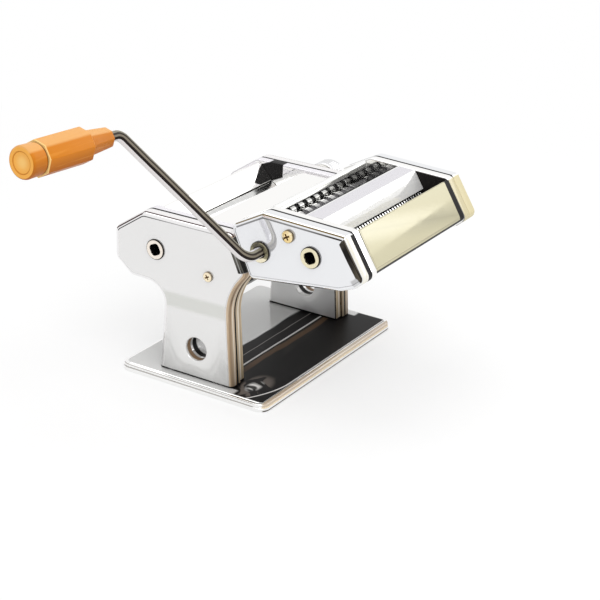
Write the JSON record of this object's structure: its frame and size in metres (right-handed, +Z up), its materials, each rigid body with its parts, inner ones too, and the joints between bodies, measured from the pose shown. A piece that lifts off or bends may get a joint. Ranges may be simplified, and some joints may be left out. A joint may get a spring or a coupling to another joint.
{
  "type": "hand cranked pasta machine",
  "caption": "Hand cranked kitchen machine: smooth rollers with an adjustable gap flatten dough, and a lift-off cutter head slices it into wide or narrow ribbons.",
  "frame": {"origin": "centre line of the two legs, on the underside of the base mat", "axes": "+Z up, -Y towards the cutter head at the front, -X towards the crank, +X towards the thickness knob"},
  "size_m": [0.3981, 0.251, 0.2592],
  "materials": {
    "chromed_steel": "bright chrome plate on pressed steel sheet",
    "plain_steel": "plain bright steel",
    "ground_steel": "ground and plated roller steel",
    "nickel_ring": "nickel plated turned rings, slightly warm",
    "zinc_screw": "yellow zinc plated screws",
    "gear_steel": "dark oiled gear steel",
    "sintered_bronze": "porous sintered bronze",
    "black_rubber": "matt black rubber",
    "satin_aluminium": "satin aluminium, turned and knurled",
    "orange_plastic": "smooth orange plastic with a soft gloss"
  },
  "bodies": {
    "machine_body": {"base_plate": "chromed_steel", "base_mat": "black_rubber", "base_screw_left": "zinc_screw", "base_screw_right": "zinc_screw", "leg_block_left": "plain_steel", "leg_block_right": "plain_steel", "body_outer_shell_left": "chromed_steel", "body_outer_shell_right": "chromed_steel", "body_inner_shell_left": "chromed_steel", "body_inner_shell_right": "chromed_steel", "rear_cover": "chromed_steel", "front_cover": "chromed_steel", "rear_scraper": "plain_steel", "front_scraper": "plain_steel", "body_tie_rod": "plain_steel", "body_screw_left": "zinc_screw", "body_screw_right": "zinc_screw", "body_socket_ring": "nickel_ring", "roller_bush_left": "sintered_bronze", "roller_bush_right": "sintered_bronze", "index_ring": "nickel_ring", "head_rail_left": "plain_steel", "head_rail_right": "plain_steel"},
    "rear_roller": {"rear_roller": "ground_steel", "rear_roller_gear": "gear_steel"},
    "roller_carriage": {"roller_carrier_left": "plain_steel", "roller_carrier_right": "plain_steel"},
    "front_roller": {"front_roller": "ground_steel", "front_roller_gear": "gear_steel"},
    "cam_shaft": {"cam_shaft": "plain_steel", "knob_spring": "plain_steel"},
    "thickness_knob": {"thickness_knob": "satin_aluminium", "knob_cap": "satin_aluminium"},
    "cutter_head": {"head_outer_shell_left": "chromed_steel", "head_outer_shell_right": "chromed_steel", "head_inner_shell_left": "chromed_steel", "head_inner_shell_right": "chromed_steel", "head_rear_cover": "chromed_steel", "head_centre_cover": "chromed_steel", "head_front_cover": "chromed_steel", "head_tie_rod": "plain_steel", "head_screw_left": "zinc_screw", "head_screw_right": "zinc_screw", "bearing_plate_left": "sintered_bronze", "bearing_plate_right": "sintered_bronze", "wide_socket_ring": "nickel_ring", "narrow_socket_ring": "nickel_ring", "head_bracket_left": "plain_steel", "head_bracket_right": "plain_steel"},
    "wide_cutter_rear": {"wide_cutter_rear": "ground_steel", "wide_gear_rear": "gear_steel"},
    "wide_cutter_front": {"wide_cutter_front": "ground_steel", "wide_gear_front": "gear_steel"},
    "narrow_cutter_rear": {"narrow_cutter_rear": "ground_steel", "narrow_gear_rear": "gear_steel"},
    "narrow_cutter_front": {"narrow_cutter_front": "ground_steel", "narrow_gear_front": "gear_steel"},
    "crank": {"crank_rod": "chromed_steel"},
    "crank_grip": {"crank_grip": "orange_plastic", "grip_end_cap": "orange_plastic"}
  },
  "joints": [
    {"name": "cutter_head_lift", "type": "slide", "parent": "machine_body", "child": "cutter_head", "axis": [0, 0.4226, 0.9063], "range_m": [0, 0.03]},
    {"name": "crank_spin", "type": "hinge", "parent": "cutter_head", "child": "wide_cutter_rear", "pos_m": [0, -0.0643, 0.1416], "axis": [1, 0, 0], "continuous": true},
    {"name": "wide_front_spin", "type": "hinge", "parent": "cutter_head", "child": "wide_cutter_front", "pos_m": [0, -0.08213, 0.14407], "axis": [1, 0, 0], "continuous": true},
    {"name": "narrow_rear_spin", "type": "hinge", "parent": "cutter_head", "child": "narrow_cutter_rear", "pos_m": [0, -0.1131, 0.1483], "axis": [1, 0, 0], "continuous": true},
    {"name": "narrow_front_spin", "type": "hinge", "parent": "cutter_head", "child": "narrow_cutter_front", "pos_m": [0, -0.13093, 0.15077], "axis": [1, 0, 0], "continuous": true},
    {"name": "crank_pull", "type": "slide", "parent": "wide_cutter_rear", "child": "crank", "axis": [-1, 0, 0], "range_m": [0, 0.016]},
    {"name": "grip_spin", "type": "hinge", "parent": "crank", "child": "crank_grip", "pos_m": [-0.1645, 0.03101, 0.24016], "axis": [-0.9981, 0.0424, 0.0439], "continuous": true},
    {"name": "rear_roller_spin", "type": "hinge", "parent": "machine_body", "child": "rear_roller", "pos_m": [0, 0.0429, 0.1182], "axis": [1, 0, 0], "continuous": true},
    {"name": "roller_gap", "type": "slide", "parent": "machine_body", "child": "roller_carriage", "axis": [0, -1, 0], "range_m": [0, 0.002]},
    {"name": "front_roller_spin", "type": "hinge", "parent": "roller_carriage", "child": "front_roller", "pos_m": [0, 0.0155, 0.1182], "axis": [1, 0, 0], "continuous": true},
    {"name": "knob_turn", "type": "hinge", "parent": "machine_body", "child": "cam_shaft", "pos_m": [0, 0, 0.133], "axis": [1, 0, 0], "range_deg": [0, 288]},
    {"name": "knob_pull", "type": "slide", "parent": "cam_shaft", "child": "thickness_knob", "axis": [1, 0, 0], "range_m": [0, 0.004], "stiffness_N_per_m": 500, "springref_m": -0.004, "deforming": ["knob_spring"]}
  ],
  "couplings": [
    {"joint": "wide_front_spin", "follows": "crank_spin", "ratio": -1},
    {"joint": "narrow_front_spin", "follows": "narrow_rear_spin", "ratio": -1},
    {"joint": "front_roller_spin", "follows": "rear_roller_spin", "ratio": -1},
    {"joint": "knob_turn", "follows": "roller_gap", "rad_per_m": 2513.3}
  ]
}
